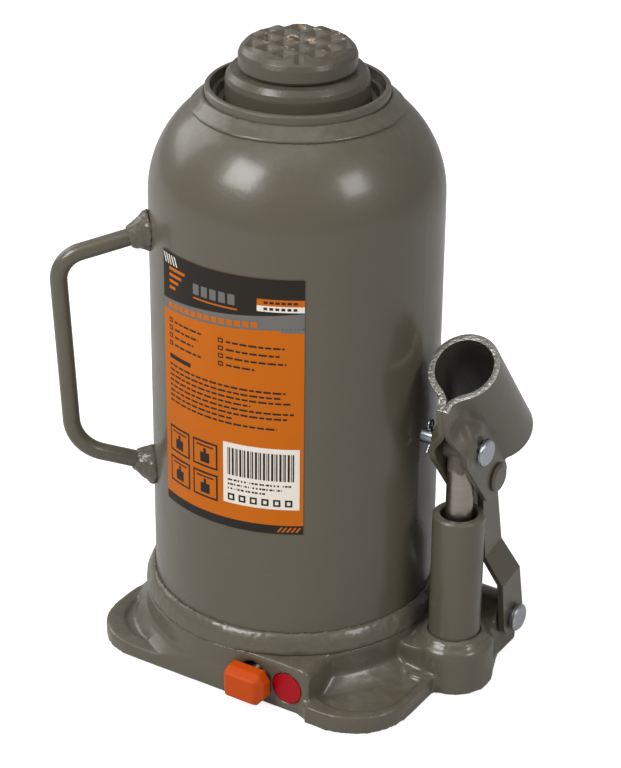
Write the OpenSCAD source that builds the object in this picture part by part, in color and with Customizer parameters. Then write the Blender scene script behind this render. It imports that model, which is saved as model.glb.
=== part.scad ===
/* [Tank] */
// Outside radius of the oil tank
tank_r = 54; // [53:0.5:55]
// Wall thickness of the tank
tank_wall = 4; // [3:0.5:4]
// Height where the straight tank wall ends and the dome begins
dome_z = 183; // [180:1:184]
// Radius of the dome's shoulder curve
dome_r = 42; // [41:0.5:42]

/* [Base] */
// Radius of the round boss under the tank
boss_r = 57.7; // [57.5:0.1:58]
// Height of the boss and of the valve block
boss_h = 20; // [20:0.5:20.5]
// Thickness of the toe plate
toe_h = 6; // [5:0.5:7]
// Corner radius of the toes
toe_r = 23; // [22:0.5:24]
// Plane of the valve face, in front of the axis
valve_face = 55.6; // [55:0.1:56]
// Height of the two valve bores
valve_z = 9.8; // [9.6:0.1:10]
// Sideways place of the release valve
release_x = 17; // [16.5:0.5:17.5]
// Sideways place of the overload valve
relief_x = 31.9; // [31.5:0.1:32.5]

/* [Lift] */
// Outside radius of the hydraulic cylinder
cyl_r = 33.2; // [33:0.1:33.4]
// Bore radius of the hydraulic cylinder
cyl_bore = 29; // [28.5:0.5:29]
// Height of the top of the hydraulic cylinder
cyl_top = 223.8; // [223:0.1:224]
// Ram radius
ram_r = 26; // [25.5:0.1:26]
// Height of the top of the lowered ram
ram_top = 229.8; // [229:0.1:230]
// Radius of the saddle on the extension screw
saddle_r = 21.3; // [21:0.1:22]
// Height of the lowered jack
jack_h = 240; // [239:0.5:242]
// Radius of the extension screw over its thread
screw_r = 16.9; // [16:0.1:17]

/* [Pump] */
// Distance of the pump from the tank axis
pump_x = 71.6; // [71:0.1:72]
// Outside radius of the pump tube
pump_r = 9.8; // [9.5:0.1:10]
// Height of the mouth of the pump tube
pump_top = 71; // [70:0.5:71]
// Radius of the plunger
plunger_r = 5.1; // [5:0.1:5.2]
// Height of the pin through the plunger
piston_pin_z = 99.2; // [99:0.1:100]

/* [Handle socket] */
// Inside radius of the socket
socket_bore = 11; // [10.5:0.1:11]
// Outside radius of the socket
socket_r = 13.5; // [13:0.1:13.5]
// Length of the socket
socket_len = 47.7; // [46:0.1:48]
// Rise of the socket above the horizontal
socket_rise = 52.6; // [52:0.1:53]

/* [Carry handle] */
// Radius of the carry bar
bar_r = 3.25; // [3:0.05:3.5]
// Direction in which the carry handle stands, around the tank
bar_turn = -140; // [-145:1:-135]

/* [Hidden] */
$fn = 96;

fit = 0.02;                       // gap between pieces that touch
slide = 0.08;                     // radial gap of a running fit
over = 1;                         // how far a cutter runs past a face
green = [0.40, 0.37, 0.31];
oil_steel = [0.55, 0.55, 0.53];
zinc = [0.62, 0.65, 0.67];
seal = [0.12, 0.12, 0.12];

tank_in = tank_r - tank_wall;
dome_cx = tank_r - dome_r;
floor_z = boss_h + 4;             // top of the spigot that centres the tank
seat_z = 16;                      // floor of the seat under the cylinder
gland_z = 206;                    // bottom of the gland nut
channel_z = 9.3;                  // height of the pressure channel
suction_z = 4;                    // height of the suction channel
lug_y = 25.5;
lug_z = 16.4;
lug_half = 8.5;
lug_r = 8.1;
rivet_y = 13.8;
rivet_z = 82;
rivet_r = 2.8;
ear_in = 5.4;
ear_out = 7.9;
pin_r = 3;
low_pin_r = 3.5;
screw_bore = screw_r + slide;

// the socket's own frame: x along its axis from the mouth, y out of its upper side, z across
socket_y = -0.8;
socket_z = 131.5;
module in_socket()
  translate([pump_x, socket_y, socket_z])
    rotate([-socket_rise, 0, 0])
      rotate([90, 0, 90])
        children();

// a cylinder along +Y from the plane y to y + length
module rod_y(x, y, z, r, length)
  translate([x, y, z]) rotate([-90, 0, 0]) cylinder(h = length, r = r);

// a cylinder along +X from the plane x to x + length
module rod_x(x, y, z, r, length)
  translate([x, y, z]) rotate([0, 90, 0]) cylinder(h = length, r = r);

// a ring around the axis with a rectangular section
module ring(r_in, r_out, z0, z1)
  rotate_extrude()
    translate([r_in, z0]) square([r_out - r_in, z1 - z0]);

// ---- base ----
module toe_outline() {
  toe_y = -58.3 + toe_r;
  toe_x = -60.3 + toe_r;
  for (side = [1, -1])
    scale([1, side]) {
      translate([toe_x, toe_y]) circle(r = toe_r);
      translate([toe_x, toe_y - toe_r]) square([44, toe_r]);
      polygon([[toe_x - toe_r, toe_y], [toe_x - toe_r, -23], [-55.5, -9], [0, 0], [0, toe_y]]);
    }
}

module pump_outline() {
  translate([pump_x, 0]) circle(r = 15.4);
  polygon([[48.3, 0], [48.3, -34], [72.3, -34], [72.3, -15.2], [pump_x + 15.3, 2],
           [pump_x + 8.7, 20.3], [pump_x + 8.7, 35], [pump_x - 8.7, 35], [30, 35]]);
  translate([48.3, -34.6]) circle(r = 24);
  translate([41.6, -58.6]) square([6.7, 40]);
}

module base_solid() {
  linear_extrude(toe_h) toe_outline();
  linear_extrude(toe_h - 0.6) pump_outline();
  cylinder(h = boss_h, r = boss_r);
  intersection() {
    translate([0, 0, toe_h - 1]) cylinder(h = 6, r1 = boss_r + 5.5, r2 = boss_r - 0.5);
    linear_extrude(boss_h) {
      toe_outline();
      pump_outline();
    }
  }
  cylinder(h = floor_z, r = tank_in - slide);
  // valve block, with its right top corner rounded
  translate([5, -valve_face, 0]) cube([32.6, 40, boss_h]);
  translate([37.6, -valve_face, 0]) cube([4, 40, boss_h - 4]);
  rod_y(37.6, -valve_face, boss_h - 4, 4, 40);
  // right-hand toe rim, raised around a lower floor
  difference() {
    linear_extrude(toe_h + 1.4)
      difference() {
        union() {
          translate([48.3, -34.6]) circle(r = 24);
          translate([41.6, -58.6]) square([6.7, 40]);
          translate([48.3, -34.6]) square([24, 19]);
        }
        translate([50, -33]) circle(r = 19.5);
        translate([50, -33]) square([19.5, 14]);
      }
    translate([0, 0, toe_h - 1]) cylinder(h = 4, r = boss_r - over);
  }
  // pump block with its stepped top
  translate([pump_x, 0, 0]) {
    cylinder(h = 16, r = 15.2);
    translate([0, 0, 16]) cylinder(h = 2, r1 = 15.2, r2 = 14);
    cylinder(h = 20, r = 12.5);
    cylinder(h = 21.4, r = 11);
  }
  translate([40, -14, 0]) cube([pump_x - 40, 28, 16]);
  // lug of the two links
  rod_x(pump_x - lug_half, lug_y, lug_z, lug_r, 2 * lug_half);
  translate([pump_x - lug_half, 8, 0]) cube([2 * lug_half, lug_y + lug_r - 8, lug_z]);
  translate([40, 8, 0]) cube([pump_x - 40 - lug_half + over, lug_y + lug_r - 8, 7]);
}

module base_casting()
  color(green)
    difference() {
      base_solid();
      // seat of the hydraulic cylinder
      translate([0, 0, seat_z]) cylinder(h = 20, r = cyl_r + 0.05);
      // delivery valve pocket and its seat
      translate([0, 0, 10.4]) cylinder(h = 10, r = 4.2);
      translate([0, 0, channel_z - 0.5]) cylinder(h = 4, r = 1.8);
      // pressure channel from the pump to the ram
      rod_x(0, 0, channel_z - 1.5, 1.5, pump_x);
      // seat of the pump tube and pump chamber
      translate([pump_x, 0, 11]) cylinder(h = 20, r = pump_r + 0.05);
      translate([pump_x, 0, 6.2]) cylinder(h = 6, r = 3.6);
      translate([pump_x, 0, suction_z]) cylinder(h = 4, r = 1.6);
      // suction channel from the tank, beside the pressure channel
      translate([pump_x, 0, suction_z])
        rotate([0, 0, 180 - atan(8 / 30)])
          rotate([0, 90, 0]) cylinder(h = 31.05, r = 1.6);
      translate([pump_x - 30, 8, suction_z]) cylinder(h = 30, r = 1.8);
      // release valve
      rod_y(release_x, -valve_face - over, valve_z, 6.3, valve_face + over - 33);
      rod_y(release_x, -34, valve_z, 1.8, 34);
      translate([release_x, -37.5, valve_z]) cylinder(h = 20, r = 1.8);
      // overload valve
      rod_y(relief_x, -valve_face - over, valve_z, 6.3, valve_face + over - 30);
      rod_y(relief_x, -31, valve_z, 1.6, 31);
      translate([relief_x, -33, valve_z]) cylinder(h = 20, r = 1.6);
      // bore for the lower link pin
      rod_x(pump_x - lug_half - over, lug_y, lug_z, low_pin_r + slide, 2 * lug_half + 2 * over);
      // crescent pocket in the left-hand toe
      translate([0, 0, toe_h - 1.2])
        linear_extrude(3)
          intersection() {
            translate([-34, -31]) circle(r = 21);
            difference() {
              translate([-60, -60]) square([26, 31]);
              translate([-22, -20]) circle(r = 33);
            }
          }
    }

module tank_weld_bead()
  color(green)
    rotate_extrude()
      polygon([[tank_r + fit, boss_h + fit], [boss_r - 0.1, boss_h + fit],
               [boss_r - 0.4, boss_h + 2.4], [boss_r - 1.2, boss_h + 4.8],
               [boss_r - 2.2, boss_h + 6.6], [boss_r - 3.3, boss_h + 7.8],
               [tank_r + fit, boss_h + 8.1]]);

// ---- tank ----
// half section of a round-shouldered bottle with its curve centred at dome_cx, dome_z
module bottle_section(r, curve) {
  translate([0, boss_h - over]) square([r, dome_z - boss_h + over]);
  intersection() {
    translate([dome_cx, dome_z]) circle(r = curve);
    translate([0, dome_z]) square([r, dome_r]);
  }
}

module tank_half_section()
  difference() {
    bottle_section(tank_r, dome_r);
    bottle_section(tank_in, dome_r - tank_wall);
    square([cyl_r + 0.2, 300]);
    square([tank_r + over, boss_h + fit]);
  }

module tank_shell()
  color(green)
    difference() {
      rotate_extrude() tank_half_section();
      rotate([0, 0, 100])
        rod_x(tank_in - 5, 0, 165, 4.4, 12);
    }

module neck_weld()
  color(green)
    rotate_extrude()
      difference() {
        polygon([[cyl_r + fit, 221], [cyl_r + 0.9, 220.2], [cyl_r + 2, 218.9],
                 [cyl_r + 3.6, 217.6], [cyl_r + 5.6, 216], [cyl_r + fit, 214]]);
        translate([dome_cx, dome_z]) circle(r = dome_r + fit);
      }

module hydraulic_cylinder()
  color(green)
    rotate_extrude()
      polygon([[cyl_bore, seat_z + 1 + fit], [cyl_r, seat_z + 1 + fit], [cyl_r, cyl_top - 0.6],
               [cyl_r - 0.6, cyl_top], [cyl_r - 1.9, cyl_top], [cyl_r - 2, cyl_top - 0.6],
               [cyl_r - 2, gland_z - fit], [cyl_bore, gland_z - fit]]);

module cylinder_gasket()
  color(seal)
    ring(cyl_bore + 0.5, cyl_r - 0.2, seat_z + fit, seat_z + 1 - fit);

module gland_nut() {
  inner = ram_r + slide;
  outer = cyl_r - 2 - 0.05;
  color(green)
    rotate_extrude()
      difference() {
        polygon([[inner, gland_z + fit], [outer, gland_z + fit], [outer, cyl_top - 3.2],
                 [outer - 1.9, cyl_top - 3.2], [outer - 2.6, cyl_top - 5.8],
                 [inner + 0.6, cyl_top - 5.8], [inner, cyl_top - 6.4]]);
        translate([inner - over, gland_z + 3.5]) square([over + 2.5, 3]);
        translate([inner - over, gland_z + 8]) square([over + 1.8, 2.4]);
      }
}

module gland_seal()
  color(seal) ring(ram_r + 0.05, ram_r + 2.5, gland_z + 3.6, gland_z + 6.4);

module gland_wiper()
  color(seal) ring(ram_r + 0.05, ram_r + 1.8, gland_z + 8.1, gland_z + 10.3);

// ---- ram and extension screw ----
ram_foot = 21;
flange_top = 54;
module ram() {
  flange_r = cyl_bore - 0.1;
  color(green)
    rotate_extrude()
      difference() {
        polygon([[0, ram_foot], [flange_r - 1.5, ram_foot], [flange_r - 1.5, ram_foot + 3],
                 [ram_r - 2, ram_foot + 3], [ram_r - 2, ram_foot + 10],
                 [flange_r, ram_foot + 10], [flange_r, flange_top], [ram_r, flange_top],
                 [ram_r, ram_top - 3.9], [ram_r - 0.5, ram_top - 2], [ram_r - 2, ram_top],
                 [screw_bore + 1, ram_top], [screw_bore, ram_top - 1], [screw_bore, 128],
                 [0, 120]]);
        translate([ram_r + 1, 38]) square([5, 10]);
      }
}

module ram_cup_seal()
  color(seal)
    rotate_extrude()
      polygon([[ram_r - 1.95, ram_foot + 3.1], [cyl_bore - 0.06, ram_foot + 3.1],
               [cyl_bore - 0.06, ram_foot + 9.8], [ram_r - 1.95, ram_foot + 9.8]]);

module ram_guide_ring()
  color("tan") ring(ram_r + 1.05, cyl_bore - 0.06, 38.1, 47.9);

// square waffle of ridges left between pits, cut by two crossed rows of vees
waffle_pitch = 7.7;
module vee_row(turn, shift)
  rotate([0, 0, turn])
    for (i = [-3 : 3])
      translate([-40, shift + (i + 0.5) * waffle_pitch, jack_h])
        rotate([90, 0, 90])
          linear_extrude(80)
            polygon([[-waffle_pitch / 2 + 0.45, 0.3], [waffle_pitch / 2 - 0.45, 0.3], [0.4, -2.3],
                     [-0.4, -2.3]]);

module extension_screw() {
  thread = 1.6;
  pitch = 5;
  foot = 136;
  turns = floor((ram_top - 6 - foot) / pitch);
  under = ram_top + 0.12;
  color(green)
    difference() {
      rotate_extrude()
        polygon(concat(
          [[0, foot], [screw_r - thread, foot]],
          [for (i = [0 : turns - 1], corner = [[0, 0], [thread, 1.2], [thread, 2.8], [0, 4]])
            [screw_r - thread + corner[0], foot + 0.5 + i * pitch + corner[1]]],
          [[screw_r - thread, under], [saddle_r - 1.2, under], [saddle_r, under + 1.4],
           [saddle_r, jack_h - 4.6], [saddle_r - 0.7, jack_h - 2.9],
           [saddle_r - 2.1, jack_h - 1.3], [saddle_r - 4.3, jack_h], [0, jack_h]]));
      intersection() {
        vee_row(-12.2, -2.2);
        vee_row(75.8, -2.8);
      }
    }
}

// ---- pump ----
module pump_tube()
  color(green)
    translate([pump_x, 0, 0])
      rotate_extrude()
        polygon([[plunger_r + 0.1, 11 + fit], [pump_r, 11 + fit], [pump_r, pump_top - 0.8],
                 [pump_r - 0.8, pump_top], [7.2, pump_top], [6.75, pump_top - 0.6], [6.75, 46],
                 [plunger_r + 0.1, 46]]);

module pump_gland_ring()
  color(oil_steel)
    translate([pump_x, 0, 0]) ring(plunger_r + slide, 6.7, 51.1, 54.5);

module pump_seal()
  color(seal)
    translate([pump_x, 0, 0]) ring(plunger_r + 0.04, 6.72, 46.1, 51);

module pump_plunger()
  color([0.54, 0.52, 0.48])
    difference() {
      union() {
        translate([pump_x, 0, 32]) cylinder(h = piston_pin_z - 32, r = plunger_r);
        rod_x(pump_x - plunger_r + 0.2, 0, piston_pin_z, 5.6, 2 * plunger_r - 0.4);
      }
      rod_x(pump_x - 10, 0, piston_pin_z, pin_r + 0.05, 20);
    }

// ---- handle socket ----
// plate of an ear in the plane of the socket's axis
module ear_outline() {
  corner = 5;
  difference() {
    union() {
      translate([16, -28.5 + corner]) square([48.5 - 16, 20]);
      translate([16 + corner, -28.5]) square([48.5 - 16 - corner, 10]);
      translate([48.5, -28.5 + corner]) circle(r = corner);
      translate([16 + corner, -28.5 + corner]) circle(r = corner);
      polygon([[48, -28.5 + corner], [53.5, -28.5 + corner], [53.5, -17], [50, -11.6],
               [48, -11.6]]);
    }
  }
}

module handle_socket() {
  pinch = -18.9;
  thick = ear_out - ear_in;
  color(green)
    difference() {
      in_socket()
        difference() {
          union() {
            rotate([0, 90, 0]) cylinder(h = socket_len, r = socket_r);
            for (side = [1, -1])
              translate([0, 0, side > 0 ? ear_in : -ear_out])
                linear_extrude(thick) ear_outline();
            // front web: the two sheets leave the tube, meet at the mouth and spread to the ears
            for (side = [1, -1])
              hull() {
                translate([0, -8.4, side > 0 ? 8.2 : -10.6]) cube([1.5, 1, 2.4]);
                translate([0, pinch, side > 0 ? 0 : -2.2]) cube([1.5, 2, 2.2]);
                translate([17, -9, side > 0 ? ear_in : -ear_out]) cube([1, 1, thick]);
                translate([17, -26, side > 0 ? ear_in : -ear_out]) cube([1, 1, thick]);
              }
          }
          translate([-over, 0, 0])
            rotate([0, 90, 0]) cylinder(h = socket_len + 2 * over, r = socket_bore);
          // the space between the ears
          translate([14, -30, -ear_in]) cube([45, 24, 2 * ear_in]);
          hull() {
            translate([-1, -8.8, -7]) cube([1, 1, 14]);
            translate([-1, -15.5, -0.3]) cube([1, 1, 0.6]);
            translate([16, -9, -ear_in]) cube([1, 1, 2 * ear_in]);
            translate([16, -31, -ear_in]) cube([1, 1, 2 * ear_in]);
          }
        }
      rod_x(pump_x - 20, 0, piston_pin_z, pin_r + slide, 40);
      rod_x(pump_x - 20, rivet_y, rivet_z, rivet_r + 1.6, 40);
    }
}

// ---- links ----
link_thick = 2.5;
link_top_in = 2.2;
link_low_in = 9.4;
module link(side) {
  bend_top = 48;
  bend_low = 36;
  reach_y = rivet_y - lug_y;
  reach_z = rivet_z - lug_z;
  outline_top = 5.2;
  outline_low = 7.5;
  lean = atan(reach_y / reach_z);
  length = norm([reach_y, reach_z]);
  low = bend_low - lug_z;
  high = bend_top - lug_z;
  color(green)
    translate([pump_x, lug_y, lug_z])
      rotate([-lean, 0, 0])
        difference() {
          intersection() {
            // the joggled strip, seen along the Y axis
            rotate([90, 0, 0])
              translate([0, 0, -12])
                linear_extrude(24)
                  scale([side, 1])
                    polygon([[link_low_in, -9], [link_low_in + link_thick, -9],
                             [link_low_in + link_thick, low], [link_top_in + link_thick, high],
                             [link_top_in + link_thick, length + 7], [link_top_in, length + 7],
                             [link_top_in, high], [link_low_in, low]]);
            // the strip's outline, seen along the X axis
            rotate([90, 0, 90])
              translate([0, 0, -20])
                linear_extrude(40) {
                  circle(r = outline_low);
                  translate([0, length]) circle(r = outline_top);
                  polygon([[-outline_low, 0], [outline_low, 0], [outline_top, length],
                           [-outline_top, length]]);
                }
          }
          rod_x(-20, 0, 0, low_pin_r + 0.05, 40);
          rod_x(-20, 0, length, rivet_r + 0.05, 40);
        }
}

module link_right() link(1);
module link_left() link(-1);

// a headed pin along X, with its head on the +X side and a cross hole in its tail
module headed_pin(y, z, r, head_in, head_out, head_r, tail, hole_x)
  difference() {
    union() {
      rod_x(pump_x + tail, y, z, r, head_in - tail + 0.5);
      rod_x(pump_x + head_in, y, z, head_r, head_out - head_in - 0.6);
      translate([pump_x + head_out - 0.6, y, z])
        rotate([0, 90, 0]) cylinder(h = 0.6, r1 = head_r, r2 = head_r - 0.7);
    }
    translate([pump_x + hole_x, y, z - 10]) cylinder(h = 20, r = 0.85);
  }

split_x = -13.2;
module piston_pin()
  color(zinc)
    headed_pin(0, piston_pin_z, pin_r, 9.4, 11.2, 5.2, -16, split_x);

low_split_x = -14;
module link_bottom_pin()
  color(zinc)
    headed_pin(lug_y, lug_z, low_pin_r, 13, 15.1, 5.3, -16.2, low_split_x);

// a split pin: an eye over the pin and two spread legs under it
module split_pin(x, y, z, reach) {
  wire = 0.7;
  eye = 1.5;
  color(zinc)
    translate([x, y, z]) {
      translate([0, 0, -reach]) cylinder(h = 2 * reach, r = wire);
      translate([0, 0, reach + eye])
        rotate([0, 90, 0])
          rotate_extrude() translate([eye, 0]) circle(r = wire, $fn = 24);
      for (side = [1, -1])
        translate([0, 0, -reach])
          rotate([side * 35, 0, 0])
            translate([0, 0, -3.6]) cylinder(h = 3.7, r = wire * 0.8);
    }
}

module piston_split_pin()
  split_pin(pump_x + split_x, 0, piston_pin_z, pin_r + 0.3);

module link_split_pin()
  split_pin(pump_x + low_split_x, lug_y, lug_z, low_pin_r + 0.3);

module link_rivet()
  color(green) {
    rod_x(pump_x - 8.3, rivet_y, rivet_z, rivet_r, 16.6);
    rod_x(pump_x + 8.2, rivet_y, rivet_z, 5.6, 0.7);
    translate([pump_x + 8.9, rivet_y, rivet_z])
      rotate([0, 90, 0]) cylinder(h = 0.6, r1 = 5.6, r2 = 4.4);
    rod_x(pump_x - 8.9, rivet_y, rivet_z, 5.6, 0.7);
    translate([pump_x - 8.9, rivet_y, rivet_z])
      rotate([0, -90, 0]) cylinder(h = 0.6, r1 = 5.6, r2 = 4.4);
  }

// ---- valves ----
module suction_ball()
  color(zinc) translate([pump_x, 0, 6.2 + 2.4]) sphere(r = 2.35);

module delivery_ball()
  color(zinc) translate([0, 0, 10.4 + 2.85]) sphere(r = 2.8);

// a wire coil along +Z
module coil(r, wire, height, turns)
  linear_extrude(height, twist = -360 * turns, slices = 16 * turns, $fn = 8)
    translate([r, 0]) circle(r = wire);

module delivery_spring()
  color(zinc) translate([0, 0, 16.2]) coil(2.4, 0.35, 4.2, 3);

module release_spindle()
  color(oil_steel)
    difference() {
      union() {
        rod_y(release_x, -53.5, valve_z, 6.22, 14.8);
        rod_y(release_x, -62, valve_z, 3.5, 9);
        translate([release_x, -38.7, valve_z])
          rotate([-90, 0, 0]) cylinder(h = 1.5, r1 = 5, r2 = 3);
      }
      difference() {
        rod_y(release_x, -48.2, valve_z, 7, 2.4);
        rod_y(release_x, -49, valve_z, 4.2, 4);
      }
    }

module release_oring()
  color(seal)
    translate([release_x, -47, valve_z])
      rotate([90, 0, 0])
        rotate_extrude() translate([5.23, 0]) circle(r = 1);

module release_ball()
  color(zinc) translate([release_x, -34.65, valve_z]) sphere(r = 2.4);

// the release knob: an eight-sided body that narrows to a smaller oblong face
module release_knob() {
  outline = [[-9, 2.6], [-6.6, 6.5], [6.6, 6.5], [9, 2.6], [9, -3.4], [5.6, -7.6], [-5.6, -7.6],
             [-9, -3.4]];
  color([0.76, 0.30, 0.01])
    difference() {
      translate([release_x, -57.3, valve_z])
        rotate([90, 0, 0])
          union() {
            linear_extrude(4.2) polygon(outline);
            hull() {
              translate([0, 0, 4.1]) linear_extrude(0.2) polygon(outline);
              translate([-6.2, -4.9, 7.6]) cube([12.4, 9.4, 0.2]);
            }
          }
      rod_y(release_x, -62.2, valve_z, 3.55, 6);
    }
}

module relief_plug()
  color([0.63, 0.01, 0.08])
    rod_y(relief_x, -valve_face + 0.2, valve_z, 6.2, 4);

module relief_screw()
  color(oil_steel)
    difference() {
      rod_y(relief_x, -46, valve_z, 6.2, 6);
      rod_y(relief_x, -46 - over, valve_z, 1.8, 3 + over);
    }

module relief_spring()
  color(zinc)
    translate([relief_x, -39.6, valve_z]) rotate([-90, 0, 0]) coil(2.6, 0.4, 5.4, 4);

module relief_ball()
  color(zinc) translate([relief_x, -31.9, valve_z]) sphere(r = 1.8);

// rubber plug of the oil filler, at the back of the tank
module filler_plug()
  color(seal)
    rotate([0, 0, 100])
      difference() {
        union() {
          rod_x(tank_in - 2, 0, 165, 4.3, 7);
          rod_x(tank_r - 2, 0, 165, 7, 4.4);
        }
        difference() {
          cylinder(h = 300, r = tank_r + fit);
          rod_x(0, 0, 165, 4.3, 90);
        }
      }

// ---- carry handle ----
// corners of the bar's centre line: distance from the tank axis and height
bar_path = [[tank_r - 1.5, 169.9], [87.5, 160.3], [84.1, 83.2], [tank_r - 1.5, 73.3]];
bar_bend = [11, 16];
lap = 0.3;                        // how far a straight runs into the next bend
function heading(a, b) = atan2(b[1] - a[1], b[0] - a[0]);
function turn_at(i) = heading(bar_path[i], bar_path[i + 1]) - heading(bar_path[i - 1], bar_path[i]);
function cut_at(i) = i == 0 || i == 3 ? 0 : bar_bend[i - 1] * tan(abs(turn_at(i)) / 2);

module bar_straight(i) {
  a = bar_path[i];
  b = bar_path[i + 1];
  way = (b - a) / norm(b - a);
  start = a + way * (cut_at(i) - lap);
  length = norm(b - a) - cut_at(i) - cut_at(i + 1) + 2 * lap;
  translate([start[0], 0, start[1]])
    rotate([0, 90 - heading(a, b), 0])
      cylinder(h = length, r = bar_r);
}

module bar_corner(i) {
  a = bar_path[i - 1];
  b = bar_path[i];
  way = (b - a) / norm(b - a);
  start = b - way * cut_at(i);
  // the bend turns clockwise, so its centre lies to the right of the way in
  centre = start + [way[1], -way[0]] * bar_bend[i - 1];
  from = atan2(start[1] - centre[1], start[0] - centre[0]);
  translate([centre[0], 0, centre[1]])
    rotate([90, 0, 0])
      rotate([0, 0, from + turn_at(i)])
        rotate_extrude(angle = -turn_at(i))
          translate([bar_bend[i - 1], 0]) circle(r = bar_r + 0.02);
}

module carry_bar() {
  for (i = [0 : 2]) bar_straight(i);
  for (i = [1 : 2]) bar_corner(i);
}

module carry_handle()
  color(green)
    rotate([0, 0, bar_turn])
      difference() {
        carry_bar();
        translate([0, 0, 40]) cylinder(h = 160, r = tank_r + fit);
      }

module bar_weld(i) {
  a = bar_path[i];
  b = bar_path[i == 0 ? 1 : 2];
  translate([a[0], 0, a[1]])
    rotate([0, 90 - heading(a, b), 0])
      cylinder(h = 9, r1 = 8, r2 = bar_r + 0.3);
}

module carry_handle_welds()
  color(green)
    rotate([0, 0, bar_turn])
      difference() {
        union() {
          bar_weld(0);
          bar_weld(3);
        }
        translate([0, 0, 40]) cylinder(h = 160, r = tank_r + fit);
        for (i = [0, 2]) {
          a = bar_path[i == 0 ? 0 : 3];
          b = bar_path[i == 0 ? 1 : 2];
          translate([a[0], 0, a[1]])
            rotate([0, 90 - heading(a, b), 0])
              cylinder(h = 30, r = bar_r + fit);
        }
      }

// plain printed sheet stuck round the front of the tank
module label()
  color([0.78, 0.43, 0.02])
    rotate([0, 0, -118])
      rotate_extrude(angle = 63.5)
        translate([tank_r + fit, 70.5]) square([0.22, 101.5]);

base_casting();
tank_weld_bead();
tank_shell();
neck_weld();
hydraulic_cylinder();
cylinder_gasket();
gland_nut();
gland_seal();
gland_wiper();
ram();
ram_cup_seal();
ram_guide_ring();
extension_screw();
pump_tube();
pump_gland_ring();
pump_seal();
pump_plunger();
handle_socket();
link_right();
link_left();
piston_pin();
piston_split_pin();
link_rivet();
link_bottom_pin();
link_split_pin();
suction_ball();
delivery_ball();
delivery_spring();
release_spindle();
release_oring();
release_ball();
release_knob();
relief_plug();
relief_screw();
relief_spring();
relief_ball();
filler_plug();
carry_handle();
carry_handle_welds();
label();
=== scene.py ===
import math

import bmesh
import bpy
from mathutils import Matrix, Vector, noise


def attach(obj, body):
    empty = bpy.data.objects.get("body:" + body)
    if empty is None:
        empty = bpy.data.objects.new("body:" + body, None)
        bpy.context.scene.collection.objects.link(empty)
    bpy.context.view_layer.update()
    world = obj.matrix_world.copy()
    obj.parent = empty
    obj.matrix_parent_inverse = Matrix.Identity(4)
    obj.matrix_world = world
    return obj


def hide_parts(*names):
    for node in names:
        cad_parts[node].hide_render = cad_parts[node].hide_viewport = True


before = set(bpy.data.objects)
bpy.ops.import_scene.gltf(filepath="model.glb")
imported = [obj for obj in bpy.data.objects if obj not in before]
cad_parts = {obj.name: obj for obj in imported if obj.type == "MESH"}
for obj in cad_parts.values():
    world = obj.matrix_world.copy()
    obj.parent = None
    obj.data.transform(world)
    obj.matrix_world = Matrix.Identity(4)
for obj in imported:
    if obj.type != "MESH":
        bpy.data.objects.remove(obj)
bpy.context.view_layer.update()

# ---- Studio ----
# A long lens looks slightly down on the jack from its front left corner, over a pale floor.
# One large soft box stands to the left of the lens, a weaker one to the right, one overhead
# and one behind, over a floor that glows only towards the lens.
LENS_MM = 114.87
SENSOR_MM = 36.0
TURN = math.radians(32.4)
PITCH = math.radians(27.35)
YAW = 0.0067
ROLL = 0.0096
LENS_PLACE = Vector((0.4389, -0.6916, 0.5277))

turn = Matrix.Rotation(TURN, 3, "Z")
forward = turn @ Vector((
    math.sin(YAW) * math.cos(PITCH),
    math.cos(YAW) * math.cos(PITCH),
    -math.sin(PITCH),
))
level = turn @ Vector((math.cos(YAW), -math.sin(YAW), 0.0))
upward = level.cross(forward)
right_hand = math.cos(ROLL) * level + math.sin(ROLL) * upward
top_side = -math.sin(ROLL) * level + math.cos(ROLL) * upward

lens = bpy.data.cameras.new("studio_camera")
lens.lens = LENS_MM
lens.sensor_width = SENSOR_MM
lens.clip_start = 0.05
lens.clip_end = 50.0
camera = bpy.data.objects.new("studio_camera", lens)
aim = Matrix((right_hand, top_side, -forward)).transposed().to_4x4()
camera.matrix_world = Matrix.Translation(LENS_PLACE) @ aim
bpy.context.collection.objects.link(camera)
bpy.context.scene.camera = camera
bpy.context.scene.view_settings.view_transform = "Standard"


def soft_box(name, side_deg, rise_deg, distance, width, height, power):
    """A soft box at side_deg right of the lens and rise_deg above the floor."""
    side = math.radians(side_deg)
    rise = math.radians(rise_deg)
    centre = Vector((0.0, 0.0, 0.13))
    local = Vector((
        math.sin(side) * math.cos(rise),
        -math.cos(side) * math.cos(rise),
        math.sin(rise),
    ))
    way = turn @ local
    data = bpy.data.lights.new(name, "AREA")
    data.shape = "RECTANGLE"
    data.size = width
    data.size_y = height
    data.energy = power
    lamp = bpy.data.objects.new(name, data)
    lamp.matrix_world = (
        Matrix.Translation(centre + way * distance)
        @ way.to_track_quat("Z", "Y").to_matrix().to_4x4()
    )
    bpy.context.collection.objects.link(lamp)


soft_box("soft_box_left", -52, 40, 1.5, 0.62, 0.62, 15.0)
soft_box("soft_box_right", 50, 33, 1.6, 0.50, 0.50, 7.0)
soft_box("soft_box_high", -10, 78, 1.8, 1.3, 1.3, 4.5)
soft_box("soft_box_back", -125, 30, 1.6, 0.9, 1.0, 7.0)

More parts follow.
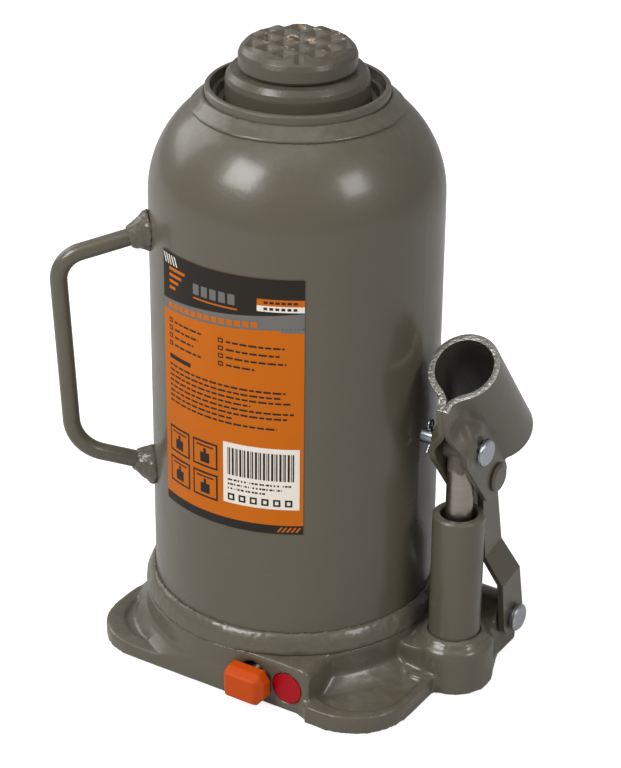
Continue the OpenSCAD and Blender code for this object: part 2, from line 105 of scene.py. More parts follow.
world = bpy.data.worlds.new("studio_air")
bpy.context.scene.world = world
world.use_nodes = True
air = world.node_tree
air.nodes.clear()
seen = air.nodes.new("ShaderNodeLightPath")
bright = air.nodes.new("ShaderNodeBackground")
bright.inputs["Color"].default_value = (1.0, 1.0, 1.0, 1.0)
bright.inputs["Strength"].default_value = 1.0
dim = air.nodes.new("ShaderNodeBackground")
dim.inputs["Color"].default_value = (0.97, 0.98, 1.0, 1.0)
dim.inputs["Strength"].default_value = 0.30
blend = air.nodes.new("ShaderNodeMixShader")
out = air.nodes.new("ShaderNodeOutputWorld")
air.links.new(seen.outputs["Is Camera Ray"], blend.inputs["Fac"])
air.links.new(dim.outputs["Background"], blend.inputs[1])
air.links.new(bright.outputs["Background"], blend.inputs[2])
air.links.new(blend.outputs["Shader"], out.inputs["Surface"])

FLOOR_HALF = 4.0
FLOOR_DROP = 0.0004
FLOOR_GLOW = 0.78
floor_mesh = bpy.data.meshes.new("studio_floor")
floor_mesh.from_pydata(
    [(x * FLOOR_HALF, y * FLOOR_HALF, -FLOOR_DROP) for x, y in ((-1, -1), (1, -1), (1, 1), (-1, 1))],
    [],
    [(0, 1, 2, 3)],
)
floor = bpy.data.objects.new("studio_floor", floor_mesh)
bpy.context.collection.objects.link(floor)
floor_paint = bpy.data.materials.new("pale_floor")
floor_paint.use_nodes = True
floor_shader = floor_paint.node_tree.nodes["Principled BSDF"]
floor_shader.inputs["Base Color"].default_value = (0.62, 0.62, 0.62, 1.0)
floor_shader.inputs["Roughness"].default_value = 0.9
floor_shader.inputs["Specular IOR Level"].default_value = 0.1
floor_shader.inputs["Emission Color"].default_value = (1.0, 1.0, 1.0, 1.0)
floor_air = floor_paint.node_tree
lens_only = floor_air.nodes.new("ShaderNodeLightPath")
glow = floor_air.nodes.new("ShaderNodeMath")
glow.operation = "MULTIPLY"
glow.inputs[1].default_value = FLOOR_GLOW
floor_air.links.new(lens_only.outputs["Is Camera Ray"], glow.inputs[0])
floor_air.links.new(glow.outputs[0], floor_shader.inputs["Emission Strength"])
floor_mesh.materials.append(floor_paint)

# ---- Tank and the end of the hydraulic cylinder ----
# The tank is drawn steel with a domed shoulder, welded round the cylinder's end. It is sprayed
# with one thick coat of glossy grey-green paint after welding, with a fine orange peel.
MM = 0.001


def effect_group(name, inputs, outputs):
    """A shader node group with these (name, kind, default) inputs and (name, kind) outputs."""
    group = bpy.data.node_groups.new(name, "ShaderNodeTree")
    for label, kind, default in inputs:
        socket = group.interface.new_socket(name=label, in_out="INPUT", socket_type=kind)
        socket.default_value = default
    for label, kind in outputs:
        group.interface.new_socket(name=label, in_out="OUTPUT", socket_type=kind)
    start = group.nodes.new("NodeGroupInput")
    end = group.nodes.new("NodeGroupOutput")
    return group, start, end


def add(tree, kind, values=None, links=None, **settings):
    """A node with its settings, its fixed socket values and its incoming links."""
    node = tree.nodes.new(kind)
    for key, value in settings.items():
        setattr(node, key, value)
    for key, value in (values or {}).items():
        node.inputs[key].default_value = value
    for key, socket in (links or {}).items():
        tree.links.new(socket, node.inputs[key])
    return node


NUMBER = "NodeSocketFloat"
COLOUR = "NodeSocketColor"

# orange peel and slow waviness of a sprayed coat, with a slight drift of its colour
coat, coat_in, coat_out = effect_group(
    "sprayed_coat",
    [("Colour", COLOUR, (0.1, 0.1, 0.1, 1)), ("Peel size", NUMBER, 650.0), ("Drift", NUMBER, 0.08)],
    [("Colour", COLOUR), ("Roughness", NUMBER), ("Height", NUMBER)],
)
place = add(coat, "ShaderNodeTexCoord")
peel = add(
    coat, "ShaderNodeTexNoise", {"Detail": 1.5, "Roughness": 0.5},
    {"Vector": place.outputs["Object"], "Scale": coat_in.outputs["Peel size"]},
)
sag = add(
    coat, "ShaderNodeTexNoise", {"Scale": 70.0, "Detail": 2.0}, {"Vector": place.outputs["Object"]},
)
patchy = add(
    coat, "ShaderNodeTexNoise", {"Scale": 14.0, "Detail": 4.0}, {"Vector": place.outputs["Object"]},
)
centred = add(
    coat, "ShaderNodeMath", {1: 0.5}, {0: patchy.outputs["Fac"]}, operation="SUBTRACT",
)
swing = add(
    coat, "ShaderNodeMath", None,
    {0: centred.outputs[0], 1: coat_in.outputs["Drift"]}, operation="MULTIPLY",
)
level_up = add(
    coat, "ShaderNodeMath", {1: 2.0, 2: 1.0}, {0: swing.outputs[0]}, operation="MULTIPLY_ADD",
)
tinted = add(
    coat, "ShaderNodeVectorMath", None,
    {0: coat_in.outputs["Colour"], "Scale": level_up.outputs[0]}, operation="SCALE",
)
coat.links.new(tinted.outputs[0], coat_out.inputs["Colour"])
gloss = add(
    coat, "ShaderNodeMapRange",
    {"From Min": 0.0, "From Max": 1.0, "To Min": 0.20, "To Max": 0.42}, {"Value": sag.outputs["Fac"]},
)
coat.links.new(gloss.outputs["Result"], coat_out.inputs["Roughness"])
wavy = add(
    coat, "ShaderNodeMath", {1: 1.6}, {0: sag.outputs["Fac"]}, operation="MULTIPLY",
)
relief = add(
    coat, "ShaderNodeMath", None, {0: peel.outputs["Fac"], 1: wavy.outputs[0]}, operation="ADD",
)
coat.links.new(relief.outputs[0], coat_out.inputs["Height"])

# dust and grime that settles on faces that look up
dust, dust_in, dust_out = effect_group(
    "settled_dust",
    [("Colour", COLOUR, (0.1, 0.1, 0.1, 1)), ("Dust colour", COLOUR, (0.3, 0.28, 0.24, 1)),
     ("Amount", NUMBER, 0.2)],
    [("Colour", COLOUR), ("Mask", NUMBER)],
)
surface = add(dust, "ShaderNodeNewGeometry")
split = add(dust, "ShaderNodeSeparateXYZ", None, {0: surface.outputs["Normal"]})
facing_up = add(
    dust, "ShaderNodeMapRange", {"From Min": 0.35, "From Max": 0.95}, {"Value": split.outputs["Z"]},
)
dust_place = add(dust, "ShaderNodeTexCoord")
grit = add(
    dust, "ShaderNodeTexNoise", {"Scale": 240.0, "Detail": 5.0, "Roughness": 0.7},
    {"Vector": dust_place.outputs["Object"]},
)
speck = add(
    dust, "ShaderNodeMapRange", {"From Min": 0.42, "From Max": 0.75}, {"Value": grit.outputs["Fac"]},
)
dusty = add(
    dust, "ShaderNodeMath", None,
    {0: facing_up.outputs["Result"], 1: speck.outputs["Result"]}, operation="MULTIPLY",
)
dust_amount = add(
    dust, "ShaderNodeMath", None,
    {0: dusty.outputs[0], 1: dust_in.outputs["Amount"]}, operation="MULTIPLY",
)
dust_mix = add(
    dust, "ShaderNodeMix", None,
    {"Factor": dust_amount.outputs[0]},
    data_type="RGBA",
)
for socket in dust_mix.inputs:
    if socket.name in ("A", "B") and socket.type == "RGBA":
        source = "Colour" if socket.name == "A" else "Dust colour"
        dust.links.new(dust_in.outputs[source], socket)
for socket in dust_mix.outputs:
    if socket.type == "RGBA":
        dust.links.new(socket, dust_out.inputs["Colour"])
dust.links.new(dust_amount.outputs[0], dust_out.inputs["Mask"])


def painted(name, colour, edge_mm=0.8, peel_size=650.0, bump=0.10, dust_level=0.15, coat_weight=0.35):
    """Sprayed paint over metal, with edges eased by edge_mm."""
    material = bpy.data.materials.new(name)
    material.use_nodes = True
    tree = material.node_tree
    shader = tree.nodes["Principled BSDF"]
    shader.inputs["Coat Weight"].default_value = coat_weight
    shader.inputs["Coat Roughness"].default_value = 0.16
    shader.inputs["Specular IOR Level"].default_value = 0.35
    spray = add(tree, "ShaderNodeGroup", node_tree=coat)
    spray.inputs["Colour"].default_value = (*colour, 1.0)
    spray.inputs["Peel size"].default_value = peel_size
    settled = add(tree, "ShaderNodeGroup", node_tree=dust)
    tree.links.new(spray.outputs["Colour"], settled.inputs["Colour"])
    settled.inputs["Amount"].default_value = dust_level
    tree.links.new(settled.outputs["Colour"], shader.inputs["Base Color"])
    tree.links.new(spray.outputs["Roughness"], shader.inputs["Roughness"])
    eased = add(tree, "ShaderNodeBevel", {"Radius": edge_mm * MM}, samples=6)
    skin = add(
        tree, "ShaderNodeBump", {"Strength": bump, "Distance": 0.0006},
        {"Height": spray.outputs["Height"], "Normal": eased.outputs["Normal"]},
    )
    tree.links.new(skin.outputs["Normal"], shader.inputs["Normal"])
    return material


def coat_node(node, material):
    """Gives a carried-over node this one material."""
    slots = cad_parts[node].data.materials
    slots.clear()
    slots.append(material)
    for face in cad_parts[node].data.polygons:
        face.material_index = 0


MACHINE_GREEN = (0.106, 0.094, 0.066)
tank_paint = painted("tank_paint", MACHINE_GREEN, edge_mm=0.8)
for node in ("tank_shell", "hydraulic_cylinder"):
    coat_node(node, tank_paint)

# ---- Base casting ----
# One grey iron casting with rounded edges and generous fillets, cast in sand and then painted
# with the tank, which leaves its skin slightly rough.


def softened(node, name, voxel_mm, rounds, ripple_mm=0.0, ripple_size_mm=6.0, grow_mm=0.0):
    """A copy of a node's solid with its edges rounded and its corners filled, and a rippled skin."""
    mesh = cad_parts[node].data.copy()
    mesh.materials.clear()
    loose = bmesh.new()
    loose.from_mesh(mesh)
    bmesh.ops.remove_doubles(loose, verts=loose.verts, dist=2e-6)
    loose.to_mesh(mesh)
    loose.free()
    piece = bpy.data.objects.new(name, mesh)
    bpy.context.collection.objects.link(piece)
    blocks = piece.modifiers.new("even_skin", "REMESH")
    blocks.mode = "VOXEL"
    blocks.voxel_size = voxel_mm * MM
    ease = piece.modifiers.new("eased_edges", "SMOOTH")
    ease.factor = 0.5
    ease.iterations = rounds
    bpy.context.view_layer.update()
    graph = bpy.context.evaluated_depsgraph_get()
    finished = bpy.data.meshes.new_from_object(piece.evaluated_get(graph))
    piece.modifiers.clear()
    piece.data = finished
    ways = [point.normal.copy() for point in finished.vertices]
    for point, way in zip(finished.vertices, ways):
        rough = noise.fractal(point.co / (ripple_size_mm * MM), 1.0, 2.0, 3)
        point.co += way * ((grow_mm + rough * ripple_mm) * MM)
    for face in finished.polygons:
        face.use_smooth = True
    return piece


cast_paint = painted(
    "cast_base_paint", MACHINE_GREEN, edge_mm=0.3, peel_size=420.0, bump=0.16, dust_level=0.2,
)
base_skin = softened("base_casting", "cast_base", 0.8, 5, ripple_mm=0.16, ripple_size_mm=11.0)
base_skin.data.materials.append(cast_paint)
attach(base_skin, "jack_body")
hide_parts("base_casting")

# ---- Weld beads ----
# Run by hand with a stick after the parts were tacked, then painted over, so each bead is
# uneven along its length.
for node, name, rounds, wave, wave_size in (
    ("tank_weld_bead", "tank_foot_weld", 8, 0.26, 5.0),
    ("neck_weld", "neck_bead", 26, 0.08, 4.0),
    ("carry_handle_welds", "carry_bar_welds", 3, 0.45, 2.6),
):
    bead = softened(node, name, 0.55, rounds, wave, wave_size, grow_mm=0.4)
    bead.data.materials.append(cast_paint)
    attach(bead, "jack_body")
    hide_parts(node)

# ---- Handle socket ----
# One steel sheet rolled round the pump lever: its two edges meet and are tacked under the
# mouth, then spread into a pair of ears that carry the pins. It is painted and worn at the mouth; the
# rim is lighter partly as a painted highlight, and the bore is darker as painted shade.
SHEET = 2.5
SOCKET_MID_R = 12.25
SOCKET_LONG = 47.7
EAR_LONG = 53.5
EAR_MID = 6.65
EAR_DEPTH = 28.5
PINCH_DEPTH = 18.9
EAR_ROUND = 5.0
FOOT_LONG = 23.0
FOOT_CURVE = 0.75
SEAM_LONG = 9.5
SPREAD_LONG = 10.0
TURN_DEPTH = 16.3
TURN_RISE = 2.0
TURN_PULL = 3.0
RIB_START = 10.5
RIB_FROM_DEPTH = 14.0
RIB_SLANT = 1.15
RIB_HALF = 2.3
RIB_HIGH = 1.5
LEAVE = math.radians(140.0)
SOCKET_MOUTH = Vector((71.6, -0.8, 131.5))
SOCKET_SLOPE = math.radians(52.6)
socket_along = Vector((0.0, math.cos(SOCKET_SLOPE), -math.sin(SOCKET_SLOPE)))
socket_above = Vector((0.0, math.sin(SOCKET_SLOPE), math.cos(SOCKET_SLOPE)))


def smooth_step(t):
    """0 to 1 with level ends."""
    t = min(max(t, 0.0), 1.0)
    return t * t * (3.0 - 2.0 * t)


def sheet_point(row, d):
    """The sheet's middle at distance d from the mouth: row runs 0-1 round the tube, 1-2 through
    the turn and 2-3 down the ear. Returns (across, above)."""
    spread = smooth_step((d - SEAM_LONG) / SPREAD_LONG)
    at_x = SHEET / 2 + spread * (EAR_MID - SHEET / 2)
    turn_depth = -TURN_DEPTH + TURN_RISE * spread
    leave_x = SOCKET_MID_R * math.sin(LEAVE)
    leave_v = SOCKET_MID_R * math.cos(LEAVE)
    if row <= 1.0:
        a = row * LEAVE
        return SOCKET_MID_R * math.sin(a), SOCKET_MID_R * math.cos(a)
    if row <= 2.0:
        t = row - 1.0
        pull = TURN_PULL
        p1 = (leave_x + pull * math.cos(LEAVE), leave_v - pull * math.sin(LEAVE))
        p2 = (at_x, turn_depth + pull)
        return tuple(
            (1 - t) ** 3 * a + 3 * t * (1 - t) ** 2 * b + 3 * t * t * (1 - t) * c + t ** 3 * e
            for a, b, c, e in zip((leave_x, leave_v), p1, p2, (at_x, turn_depth))
        )
    reached = min(1.0, (max(d, 0.0) / FOOT_LONG) ** FOOT_CURVE)
    foot = -PINCH_DEPTH - (EAR_DEPTH - PINCH_DEPTH) * reached
    past_round = d - (EAR_LONG - EAR_ROUND)
    if past_round > 0.0:
        foot = -EAR_DEPTH + EAR_ROUND - math.sqrt(max(0.0, EAR_ROUND ** 2 - past_round ** 2))
    return at_x, turn_depth + (row - 2.0) * (foot - turn_depth)


ROUND_ROWS = 18
TURN_ROWS = 8
EAR_ROWS = 10
ROWS = [i / ROUND_ROWS for i in range(ROUND_ROWS + 1)]
ROWS += [1 + i / TURN_ROWS for i in range(1, TURN_ROWS + 1)]
ROWS += [2 + i / EAR_ROWS for i in range(1, EAR_ROWS + 1)]
COLUMNS = 56
sheet = bmesh.new()
for side in (1, -1):
    lattice = []
    for row in ROWS:
        reach = SOCKET_LONG + (EAR_LONG - SOCKET_LONG) * smooth_step((row - 1.0) * 1.3)
        line = []
        for i in range(COLUMNS + 1):
            d = reach * (i / COLUMNS)
            x, v = sheet_point(row, d)
            # a rib pressed outwards across the front of each ear
            from_rib = (d - RIB_START - RIB_SLANT * (-v - RIB_FROM_DEPTH)) / RIB_HALF
            rib = RIB_HIGH * math.exp(-from_rib * from_rib) * smooth_step((row - 1.3) * 1.6)
            x += rib * smooth_step((2.95 - row) * 2.2) * smooth_step(d / 6.0)
            spot = SOCKET_MOUTH + socket_along * d + socket_above * v
            line.append(sheet.verts.new((
                (spot.x + side * x) * MM, spot.y * MM, spot.z * MM,
            )))
        lattice.append(line)
    for j in range(len(ROWS) - 1):
        for i in range(COLUMNS):
            corners = (lattice[j][i], lattice[j][i + 1], lattice[j + 1][i + 1], lattice[j + 1][i])
            sheet.faces.new(corners if side > 0 else corners[::-1])
bmesh.ops.remove_doubles(sheet, verts=sheet.verts, dist=1e-6)
bmesh.ops.recalc_face_normals(sheet, faces=sheet.faces)
socket_mesh = bpy.data.meshes.new("rolled_socket")
sheet.to_mesh(socket_mesh)
sheet.free()
rolled_socket = bpy.data.objects.new("rolled_socket", socket_mesh)
bpy.context.collection.objects.link(rolled_socket)
wall = rolled_socket.modifiers.new("sheet_wall", "SOLIDIFY")
wall.thickness = SHEET * MM
wall.offset = 0.0
wall.use_even_offset = True
rounding = rolled_socket.modifiers.new("sheared_edge", "BEVEL")
rounding.width = 0.45 * MM
rounding.segments = 3
rounding.limit_method = "ANGLE"
rounding.angle_limit = math.radians(50.0)
bpy.context.view_layer.update()
graph = bpy.context.evaluated_depsgraph_get()
finished = bpy.data.meshes.new_from_object(rolled_socket.evaluated_get(graph))
rolled_socket.modifiers.clear()
rolled_socket.data = finished
small_paint = painted(
    "handle_parts_paint", MACHINE_GREEN, edge_mm=0.5, peel_size=800.0, bump=0.12, dust_level=0.1,
)
finished.materials.clear()
finished.materials.append(small_paint)
# the rim round the mouth: lighter, half-metal paint that is partly wear and partly a painted highlight
# along the edge
worn_rim_painted_highlight = painted(
    "worn_rim_painted_highlight", (0.26, 0.25, 0.225), edge_mm=0.3, peel_size=1100.0, bump=0.6, coat_weight=0.6,
)
worn_rim_painted_highlight.node_tree.nodes["Principled BSDF"].inputs["Metallic"].default_value = 0.7
finished.materials.append(worn_rim_painted_highlight)
# the bore gets a darker colour, painted shade inside the tube, and a dull finish with no coat
dull_bore_painted_shade = painted("dull_bore_painted_shade", (0.060, 0.052, 0.040), edge_mm=0.3, coat_weight=0.0)
dull_bore_painted_shade.node_tree.nodes["Principled BSDF"].inputs["Specular IOR Level"].default_value = 0.15
finished.materials.append(dull_bore_painted_shade)
mouth = SOCKET_MOUTH * MM
# index 1: the lighter mouth rim (wear plus painted highlight); index 2: the darker bore (painted shade)
for face in finished.polygons:
    face.use_smooth = True
    ahead = (face.center - mouth).dot(socket_along)
    from_axis = face.center - mouth - socket_along * ahead
    if ahead < 0.4 * MM and face.normal.dot(socket_along) < -0.5:
        face.material_index = 1
    elif from_axis.length < SOCKET_MID_R * MM and face.normal.dot(from_axis) < 0.0:
        face.material_index = 2
    else:
        face.material_index = 0
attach(rolled_socket, "socket_body")
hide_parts("handle_socket")

# ---- Links, link rivet, pump tube and carry handle ----
# The two links are joggled flat bars on a painted rivet; the pump tube is turned and pressed
# into its boss; the carry handle is a bent round bar. All take the same sprayed coat.
for node in ("link_right", "link_left", "link_rivet", "pump_tube", "carry_handle"):
    coat_node(node, small_paint)

# ---- Ram, gland nut and extension screw ----
# The ram and the saddle of its extension screw are forged steel under thinner, duller paint
# that has chipped to bare metal and light rust on the saddle's raised ridges.
WAFFLE_TOP = 0.2387


def chipped(name, colour):
    """Dull paint worn through to metal and rust on the highest ridges."""
    material = painted(
        name, colour, edge_mm=0.5, peel_size=700.0, bump=0.12, dust_level=0.2, coat_weight=0.1,
    )
    tree = material.node_tree
    shader = tree.nodes["Principled BSDF"]
    under = shader.inputs["Base Color"].links[0].from_socket
    where = add(tree, "ShaderNodeTexCoord")
    height = add(tree, "ShaderNodeSeparateXYZ", None, {0: where.outputs["Object"]})
    high = add(
        tree, "ShaderNodeMapRange",
        {"From Min": WAFFLE_TOP, "From Max": WAFFLE_TOP + 0.001}, {"Value": height.outputs["Z"]},
    )
    flake = add(
        tree, "ShaderNodeTexNoise", {"Scale": 210.0, "Detail": 4.0, "Roughness": 0.65},
        {"Vector": where.outputs["Object"]},
    )
    flaked = add(
        tree, "ShaderNodeMapRange", {"From Min": 0.60, "From Max": 0.63},
        {"Value": flake.outputs["Fac"]},
    )
    bare = add(
        tree, "ShaderNodeMath", None,
        {0: high.outputs["Result"], 1: flaked.outputs["Result"]}, operation="MULTIPLY",
    )
    stain = add(
        tree, "ShaderNodeTexNoise", {"Scale": 500.0, "Detail": 3.0}, {"Vector": where.outputs["Object"]},
    )
    rust = add(tree, "ShaderNodeValToRGB", None, {"Fac": stain.outputs["Fac"]})
    rust.color_ramp.elements[0].position = 0.40
    rust.color_ramp.elements[0].color = (0.33, 0.17, 0.06, 1.0)
    rust.color_ramp.elements[1].position = 0.62
    rust.color_ramp.elements[1].color = (0.62, 0.58, 0.52, 1.0)
    mix = add(
        tree, "ShaderNodeMixRGB", None,
        {"Fac": bare.outputs[0], "Color1": under, "Color2": rust.outputs["Color"]},
    )
    tree.links.new(mix.outputs["Color"], shader.inputs["Base Color"])
    return material


RAM_GREEN = (0.090, 0.080, 0.056)
coat_node("extension_screw", chipped("saddle_paint", RAM_GREEN))
ram_paint = painted("ram_paint", RAM_GREEN, edge_mm=0.7, bump=0.14, coat_weight=0.12)
for node in ("ram", "gland_nut"):
    coat_node(node, ram_paint)

# ---- Plunger, pins, valve parts and springs ----
# The plunger and the valve parts are turned steel left bare and lightly oiled. The pins and
# their split pins are zinc plated.
turned, turned_in, turned_out = effect_group(
    "turned_steel",
    [("Colour", COLOUR, (0.5, 0.5, 0.5, 1)), ("Line size", NUMBER, 2600.0)],
    [("Colour", COLOUR), ("Roughness", NUMBER), ("Height", NUMBER)],
)
turned_place = add(turned, "ShaderNodeTexCoord")
stretch = add(
    turned, "ShaderNodeMapping", {"Scale": (0.06, 0.06, 1.0)},
    {"Vector": turned_place.outputs["Object"]},
)
lines = add(
    turned, "ShaderNodeTexNoise", {"Detail": 2.0, "Roughness": 0.6},
    {"Vector": stretch.outputs["Vector"], "Scale": turned_in.outputs["Line size"]},
)
smear = add(
    turned, "ShaderNodeTexNoise", {"Scale": 60.0, "Detail": 3.0},
    {"Vector": turned_place.outputs["Object"]},
)
shade = add(
    turned, "ShaderNodeMapRange", {"From Min": 0.3, "From Max": 0.7, "To Min": 0.9, "To Max": 1.04},
    {"Value": lines.outputs["Fac"]},
)
lit = add(
    turned, "ShaderNodeVectorMath", None,
    {0: turned_in.outputs["Colour"], "Scale": shade.outputs["Result"]}, operation="SCALE",
)
oily = add(
    turned, "ShaderNodeMapRange", {"From Min": 0.3, "From Max": 0.7, "To Min": 0.22, "To Max": 0.42},
    {"Value": smear.outputs["Fac"]},
)
turned.links.new(lit.outputs[0], turned_out.inputs["Colour"])
turned.links.new(oily.outputs["Result"], turned_out.inputs["Roughness"])
turned.links.new(lines.outputs["Fac"], turned_out.inputs["Height"])


def bare_metal(name, colour, bump=0.08, line_size=2600.0):
    """Bare or plated steel with fine turning lines."""
    material = bpy.data.materials.new(name)
    material.use_nodes = True
    tree = material.node_tree
    shader = tree.nodes["Principled BSDF"]
    shader.inputs["Metallic"].default_value = 1.0
    grain = add(tree, "ShaderNodeGroup", node_tree=turned)
    grain.inputs["Colour"].default_value = (*colour, 1.0)
    grain.inputs["Line size"].default_value = line_size
    tree.links.new(grain.outputs["Colour"], shader.inputs["Base Color"])
    tree.links.new(grain.outputs["Roughness"], shader.inputs["Roughness"])
    eased = add(tree, "ShaderNodeBevel", {"Radius": 0.4 * MM}, samples=6)
    skin = add(
        tree, "ShaderNodeBump", {"Strength": bump, "Distance": 0.0003},
        {"Height": grain.outputs["Height"], "Normal": eased.outputs["Normal"]},
    )
    tree.links.new(skin.outputs["Normal"], shader.inputs["Normal"])
    return material


plunger_steel = bare_metal("plunger_steel", (0.25, 0.225, 0.195))
for node in ("pump_gland_ring", "release_spindle", "relief_screw"):
    coat_node(node, plunger_steel)


def head_painted(material, from_z, colour):
    """Steel that the sprayed coat covers above from_z, with a ragged edge between."""
    tree = material.node_tree
    shader = tree.nodes["Principled BSDF"]
    steel = shader.inputs["Base Color"].links[0].from_socket
    where = add(tree, "ShaderNodeTexCoord")
    height = add(tree, "ShaderNodeSeparateXYZ", None, {0: where.outputs["Object"]})
    ragged = add(tree, "ShaderNodeTexNoise", {"Scale": 260.0}, {"Vector": where.outputs["Object"]})
    edge = add(
        tree, "ShaderNodeMath", {1: 0.005}, {0: ragged.outputs["Fac"], 2: height.outputs["Z"]},
        operation="MULTIPLY_ADD",
    )
    covered = add(
        tree, "ShaderNodeMapRange", {"From Min": from_z, "From Max": from_z + 0.0008},
        {"Value": edge.outputs[0]},
    )
    mix = add(
        tree, "ShaderNodeMixRGB", {"Color2": (*colour, 1.0)},
        {"Fac": covered.outputs[0], "Color1": steel},
    )
    tree.links.new(mix.outputs["Color"], shader.inputs["Base Color"])
    bare = add(tree, "ShaderNodeMath", {0: 1.0}, {1: covered.outputs[0]}, operation="SUBTRACT")
    tree.links.new(bare.outputs[0], shader.inputs["Metallic"])
    return material


PLUNGER_PAINT_FROM = 0.0920
coat_node("pump_plunger", head_painted(
    bare_metal("plunger_part_painted", (0.37, 0.335, 0.29), bump=0.04),
    PLUNGER_PAINT_FROM, MACHINE_GREEN,
))
zinc_plate = bare_metal("zinc_plate", (0.50, 0.53, 0.56), bump=0.05, line_size=1500.0)
for node in ("piston_pin", "piston_split_pin", "link_bottom_pin", "link_split_pin"):
    coat_node(node, zinc_plate)
ball_steel = bare_metal("ball_and_spring_steel", (0.55, 0.54, 0.52), bump=0.03)
for node in ("suction_ball", "delivery_ball", "release_ball", "relief_ball",
             "delivery_spring", "relief_spring"):
    coat_node(node, ball_steel)

# ---- Seals and filler plug ----
# Black nitrile rubber, moulded, with a matt skin; the guide ring is a tan wear plastic.


def moulded(name, colour, roughness, grain_size=1800.0, bump=0.15):
    """Moulded rubber or plastic with a fine grain."""
    material = bpy.data.materials.new(name)
    material.use_nodes = True
    tree = material.node_tree
    shader = tree.nodes["Principled BSDF"]
    spray = add(tree, "ShaderNodeGroup", node_tree=coat)
    spray.inputs["Colour"].default_value = (*colour, 1.0)
    spray.inputs["Peel size"].default_value = grain_size
    spray.inputs["Drift"].default_value = 0.15
    tree.links.new(spray.outputs["Colour"], shader.inputs["Base Color"])
    shader.inputs["Roughness"].default_value = roughness
    shader.inputs["Specular IOR Level"].default_value = 0.22
    eased = add(tree, "ShaderNodeBevel", {"Radius": 0.5 * MM}, samples=6)
    skin = add(
        tree, "ShaderNodeBump", {"Strength": bump, "Distance": 0.0002},
        {"Height": spray.outputs["Height"], "Normal": eased.outputs["Normal"]},
    )
    tree.links.new(skin.outputs["Normal"], shader.inputs["Normal"])
    return material


nitrile = moulded("nitrile_rubber", (0.018, 0.018, 0.017), 0.6)
for node in ("cylinder_gasket", "gland_seal", "gland_wiper", "ram_cup_seal", "pump_seal",
             "release_oring", "filler_plug"):
    coat_node(node, nitrile)
coat_node("ram_guide_ring", moulded("guide_ring_plastic", (0.45, 0.33, 0.18), 0.5))

# ---- Release knob and overload plug ----
# The release valve's knob is dipped in orange plastic and the overload valve is closed by a
# red plastic plug pressed in flush.
dipped_knob = softened("release_knob", "dipped_knob", 0.4, 7, ripple_mm=0.03, ripple_size_mm=2.0)
dipped_knob.data.materials.append(moulded("knob_orange", (0.52, 0.062, 0.0), 0.42, 900.0, 0.2))
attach(dipped_knob, "release_body")
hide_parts("release_knob")
coat_node("relief_plug", moulded("plug_red", (0.38, 0.0, 0.006), 0.34, 900.0, 0.2))

# ---- Label ----
# A printed film stuck round the front of the tank: a dark head with a pale device, an orange
# field with rows of plain lines and blank boxes, a white panel and a dark foot.
LABEL_R = 54.26
LABEL_LEFT = math.radians(-118.0)
LABEL_RIGHT = math.radians(-54.5)
LABEL_LOW = 70.5
LABEL_HIGH = 172.0
LAYER = 0.035
STEP = math.radians(1.5)
print_faces = []
print_points = []
print_inks = []


def across(fraction):
    """The angle round the tank at this fraction of the label's width."""
    return LABEL_LEFT + fraction * (LABEL_RIGHT - LABEL_LEFT)


def lift(fraction):
    """The height at this fraction of the label's height, from its foot."""
    return LABEL_LOW + fraction * (LABEL_HIGH - LABEL_LOW)


def patch(left, right, low_left, high_left, ink, layer=1, low_right=None, high_right=None, lean=0.0):
    """A printed patch between two fractions across; its lower and upper edges may slope, and
    lean shifts its top sideways."""
    low_right = low_left if low_right is None else low_right
    high_right = high_left if high_right is None else high_right
    count = max(1, math.ceil((across(right) - across(left)) / STEP))
    first = len(print_points)
    r = LABEL_R + layer * LAYER
    for i in range(count + 1):
        t = i / count
        at = left + t * (right - left)
        for level_at, shift in (
            (low_left + t * (low_right - low_left), 0.0),
            (high_left + t * (high_right - high_left), lean),
        ):
            a = across(at + shift)
            print_points.append((r * math.cos(a) * MM, r * math.sin(a) * MM, lift(level_at) * MM))
    for i in range(count):
        at = first + 2 * i
        print_faces.append((at, at + 2, at + 3, at + 1))
        print_inks.append(ink)


ORANGE, DARK, GREY, WHITE = 0, 1, 2, 3
# field, head, band under the head, foot
patch(0.0, 1.0, 0.0, 1.0, ORANGE, 0)
patch(0.0, 1.0, 0.815, 1.0, DARK, 1, low_right=0.875)
patch(0.0, 1.0, 0.775, 0.815, GREY, 1, low_right=0.815, high_right=0.875)
patch(0.86, 1.0, 0.80, 0.818, GREY, 1)
patch(0.0, 1.0, 0.0, 0.035, DARK, 1)
# small slanted strokes at two corners
for i in range(5):
    patch(0.03 + 0.028 * i, 0.042 + 0.028 * i, 0.955, 0.99, WHITE, 2, lean=-0.025)
    patch(0.84 + 0.028 * i, 0.853 + 0.028 * i, 0.008, 0.028, ORANGE, 2, lean=0.025)
# plain device in the head: stacked orange bars beside a row of pale blocks
for i in range(4):
    patch(0.07, 0.13 + 0.03 * i, 0.862 + 0.024 * i, 0.874 + 0.024 * i, ORANGE, 2)
for i in range(5):
    patch(0.29 + 0.062 * i, 0.335 + 0.062 * i, 0.885, 0.925, GREY, 2)
patch(0.29, 0.60, 0.868, 0.874, ORANGE, 2)
# orange and grey tabs at the right of the head
patch(0.72, 1.0, 0.90, 0.925, ORANGE, 2)
patch(0.72, 1.0, 0.878, 0.90, WHITE, 2)
for i in range(6):
    patch(0.76 + 0.035 * i, 0.785 + 0.035 * i, 0.908, 0.917, DARK, 3)
    patch(0.76 + 0.035 * i, 0.782 + 0.035 * i, 0.884, 0.894, DARK, 3)
# row of orange blocks along the grey band
for i in range(13):
    base = 0.785 + 0.04 * (0.07 + 0.05 * i)
    patch(0.06 + 0.052 * i, 0.098 + 0.052 * i, base, base + 0.022, ORANGE, 2)


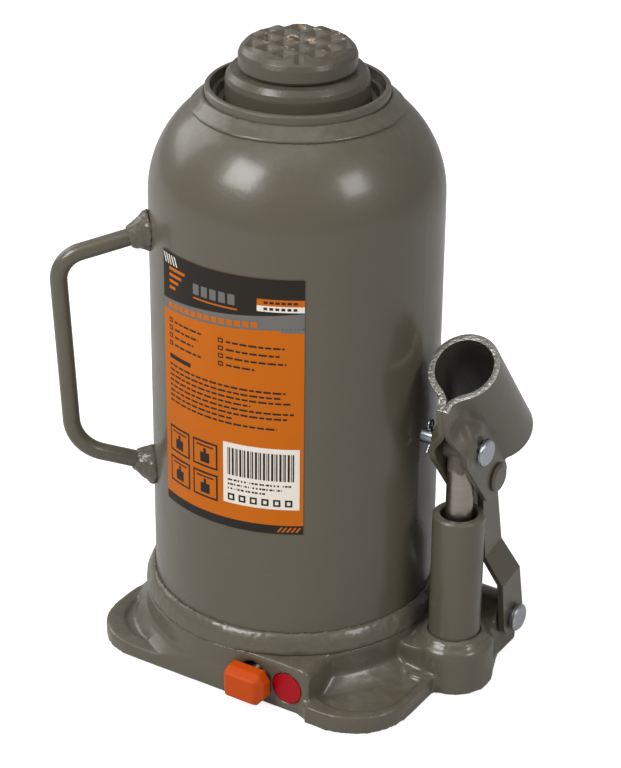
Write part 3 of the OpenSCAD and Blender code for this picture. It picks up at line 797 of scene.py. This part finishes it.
def line_rows(left, top, widths, pitch=0.019, thick=0.0075, mark=False):
    """Rows of plain broken lines, each with an optional boxed mark before it."""
    for row, width in enumerate(widths):
        level_at = top - row * pitch
        start = left
        if mark:
            patch(left, left + 0.035, level_at - 0.004, level_at + 0.014, DARK, 1)
            patch(left + 0.008, left + 0.027, level_at + 0.001, level_at + 0.009, ORANGE, 2)
            start = left + 0.055
        end = start + width
        word = 0
        while start < end:
            reach = min(end, start + 0.030 + 0.022 * ((row * 3 + word * 5) % 4) / 3)
            patch(start, reach, level_at, level_at + thick, DARK, 1)
            start = reach + 0.010
            word += 1


line_rows(0.06, 0.735, (0.24, 0.21, 0.17, 0.23), pitch=0.030, mark=True)
line_rows(0.47, 0.735, (0.36, 0.33, 0.37, 0.18), pitch=0.030, mark=True)
patch(0.06, 0.26, 0.590, 0.607, DARK, 1)
line_rows(0.06, 0.562, (0.83, 0.80, 0.86, 0.62, 0.88, 0.84, 0.50, 0.78), pitch=0.0205)
# four blank picture boxes
for column in range(2):
    for row in range(2):
        left = 0.05 + 0.22 * column
        low = 0.215 - 0.125 * row
        patch(left, left + 0.19, low, low + 0.105, DARK, 1)
        patch(left + 0.012, left + 0.178, low + 0.008, low + 0.097, ORANGE, 2)
        patch(left + 0.06, left + 0.13, low + 0.018, low + 0.058, DARK, 3)
        patch(left + 0.085, left + 0.105, low + 0.058, low + 0.076, DARK, 3)
        patch(left + 0.03, left + 0.16, low + 0.082, low + 0.088, DARK, 3)
# white panel with plain upright bars
patch(0.50, 0.977, 0.10, 0.345, WHITE, 1)
bar_at = 0.53
for i in range(26):
    bar_wide = 0.0045 + 0.0045 * ((i * 7) % 3)
    patch(bar_at, bar_at + bar_wide, 0.215, 0.325, DARK, 2)
    bar_at += bar_wide + 0.0045 + 0.003 * ((i * 5) % 3)
line_rows(0.53, 0.192, (0.40, 0.34, 0.24), pitch=0.018)
for i in range(6):
    patch(0.53 + 0.072 * i, 0.575 + 0.072 * i, 0.112, 0.140, DARK, 2)
    patch(0.542 + 0.072 * i, 0.563 + 0.072 * i, 0.119, 0.133, WHITE, 3)

label_mesh = bpy.data.meshes.new("label_print")
label_mesh.from_pydata(print_points, [], print_faces)
label_print = bpy.data.objects.new("label_print", label_mesh)
bpy.context.collection.objects.link(label_print)


def printed(name, colour):
    """Glossy ink on film, with faint mottling."""
    return moulded(name, colour, 0.5, 300.0, 0.04)


for name, colour in (
    ("label_orange", (0.56, 0.13, 0.0)),
    ("label_dark", (0.020, 0.016, 0.012)),
    ("label_grey", (0.16, 0.15, 0.14)),
    ("label_white", (0.84, 0.77, 0.68)),
):
    label_mesh.materials.append(printed(name, colour))
for face, ink in zip(label_mesh.polygons, print_inks):
    face.material_index = ink
    face.use_smooth = True
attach(label_print, "jack_body")
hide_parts("label")
